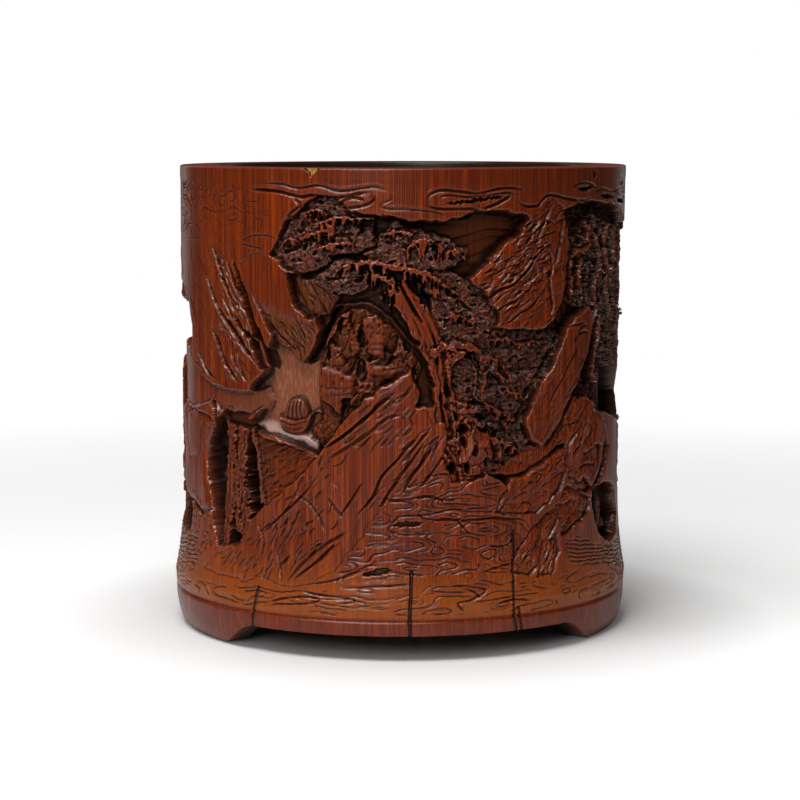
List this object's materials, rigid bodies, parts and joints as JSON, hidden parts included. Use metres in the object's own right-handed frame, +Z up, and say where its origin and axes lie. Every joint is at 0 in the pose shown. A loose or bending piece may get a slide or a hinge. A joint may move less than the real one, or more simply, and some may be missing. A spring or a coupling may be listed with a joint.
{
  "type": "bamboo brush pot",
  "caption": "Wide cylindrical bamboo brush pot, carved all round with a landscape in relief under a plain rim, on low feet cut from the wall, with a floor let in from below.",
  "frame": {"origin": "on the ground, on the pot's axis, midway between its feet", "axes": "+Z up the pot's axis, towards the rim; the front of the carving faces -Y"},
  "size_m": [0.1536, 0.1536, 0.154],
  "materials": {
    "culm_wall": "old oiled bamboo, red-brown, polished by handling, darker in the recesses",
    "floor_disc": "plain brown wood, unpolished",
    "floor_seal": "dark brown lacquer bead, semi-gloss",
    "rim_chip_fill": "yellow-gold lacquer repair, semi-gloss",
    "rim_knot_fill": "black-brown lacquer plug",
    "crack_fill_left": "grey-brown lacquer putty, worn",
    "crack_fill_centre": "near-black lacquer putty",
    "crack_fill_right_inner": "dark brown lacquer putty",
    "crack_fill_right_outer": "dark brown lacquer putty"
  },
  "bodies": {
    "root": {"culm_wall": "culm_wall", "floor_disc": "floor_disc", "floor_seal": "floor_seal", "rim_chip_fill": "rim_chip_fill", "rim_knot_fill": "rim_knot_fill", "crack_fill_left": "crack_fill_left", "crack_fill_centre": "crack_fill_centre", "crack_fill_right_inner": "crack_fill_right_inner", "crack_fill_right_outer": "crack_fill_right_outer"}
  },
  "joints": []
}
